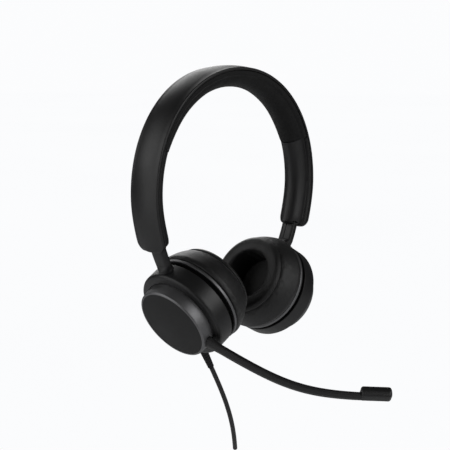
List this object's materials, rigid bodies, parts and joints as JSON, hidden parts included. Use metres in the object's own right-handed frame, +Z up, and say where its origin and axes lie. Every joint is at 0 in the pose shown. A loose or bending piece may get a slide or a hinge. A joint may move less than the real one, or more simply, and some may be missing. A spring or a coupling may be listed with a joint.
{
  "type": "headset",
  "caption": "Corded office headset with a sprung, padded headband, padded on-ear cups on sliding, swivelling arms, and a microphone boom that turns on the right cup.",
  "frame": {"origin": "middle of the head pad's underside at the crown, where the band rests on a head or a hook", "axes": "+X to the wearer's right, +Y forwards, +Z up; the headband lies in the plane Y = 0"},
  "size_m": [0.144, 0.1455, 0.2568],
  "materials": {
    "satin_plastic": "fine satin moulding",
    "matt_plastic": "matt moulding",
    "leatherette": "soft grained leatherette over foam",
    "speaker_cloth": "fine knitted cloth",
    "cord_braid": "braided sleeve",
    "spring_steel": "bright rolled steel",
    "nylon": "natural nylon",
    "brass": "plain",
    "board": "solder resist",
    "rubber": "matt",
    "paper_cone": "pressed paper",
    "mic_foam": "open acoustic foam"
  },
  "bodies": {
    "headband": {"band_shell": "satin_plastic", "spring_strip": "spring_steel", "head_pad": "leatherette", "link_wire": "rubber", "leg_cover_right": "satin_plastic", "leg_cover_left": "satin_plastic", "slider_guide_right": "nylon", "slider_guide_left": "nylon", "detent_spring_right": "spring_steel", "detent_spring_left": "spring_steel"},
    "arm_right": {"slider_arm_right": "satin_plastic", "swivel_clip_right": "spring_steel"},
    "arm_left": {"slider_arm_left": "satin_plastic", "swivel_clip_left": "spring_steel"},
    "cup_right": {"cup_housing_right": "satin_plastic", "swivel_bush_right": "matt_plastic", "baffle_right": "matt_plastic", "cushion_ring_right": "satin_plastic", "ear_cushion_right": "leatherette", "speaker_cloth_right": "speaker_cloth", "speaker_frame_right": "matt_plastic", "speaker_magnet_right": "spring_steel", "speaker_cone_right": "paper_cone", "baffle_screw_right_1": "brass", "baffle_screw_right_2": "brass", "baffle_screw_right_3": "brass", "circuit_board": "board", "cord_boot": "rubber", "cord": "cord_braid"},
    "cup_left": {"cup_housing_left": "satin_plastic", "swivel_bush_left": "matt_plastic", "baffle_left": "matt_plastic", "cushion_ring_left": "satin_plastic", "ear_cushion_left": "leatherette", "speaker_cloth_left": "speaker_cloth", "speaker_frame_left": "matt_plastic", "speaker_magnet_left": "spring_steel", "speaker_cone_left": "paper_cone", "baffle_screw_left_1": "brass", "baffle_screw_left_2": "brass", "baffle_screw_left_3": "brass", "retaining_ring_left": "nylon", "outer_cap_left": "satin_plastic"},
    "boom": {"turret": "satin_plastic", "turret_cap": "matt_plastic", "friction_washer": "rubber", "retaining_ring_right": "nylon", "boom_arm": "matt_plastic", "mic_housing": "satin_plastic", "mic_capsule": "spring_steel", "mic_grille": "mic_foam"}
  },
  "joints": [
    {"name": "slider_right", "type": "hinge", "parent": "headband", "child": "arm_right", "pos_m": [-0.02455, 0, -0.06283], "axis": [0, 1, 0], "range_deg": [-7, 1]},
    {"name": "slider_left", "type": "hinge", "parent": "headband", "child": "arm_left", "pos_m": [0.02455, 0, -0.06283], "axis": [0, -1, 0], "range_deg": [-7, 1]},
    {"name": "swivel_right", "type": "hinge", "parent": "arm_right", "child": "cup_right", "pos_m": [0.03926, 0, -0.13304], "axis": [0.4894, 0, 0.8721], "range_deg": [-90, 12]},
    {"name": "swivel_left", "type": "hinge", "parent": "arm_left", "child": "cup_left", "pos_m": [-0.03926, 0, -0.13304], "axis": [0.4894, 0, -0.8721], "range_deg": [-90, 12]},
    {"name": "boom_swing", "type": "hinge", "parent": "cup_right", "child": "boom", "pos_m": [0.0301, 0.0022, -0.1279], "axis": [0.8721, 0, -0.4894], "range_deg": [-50, 230]}
  ]
}
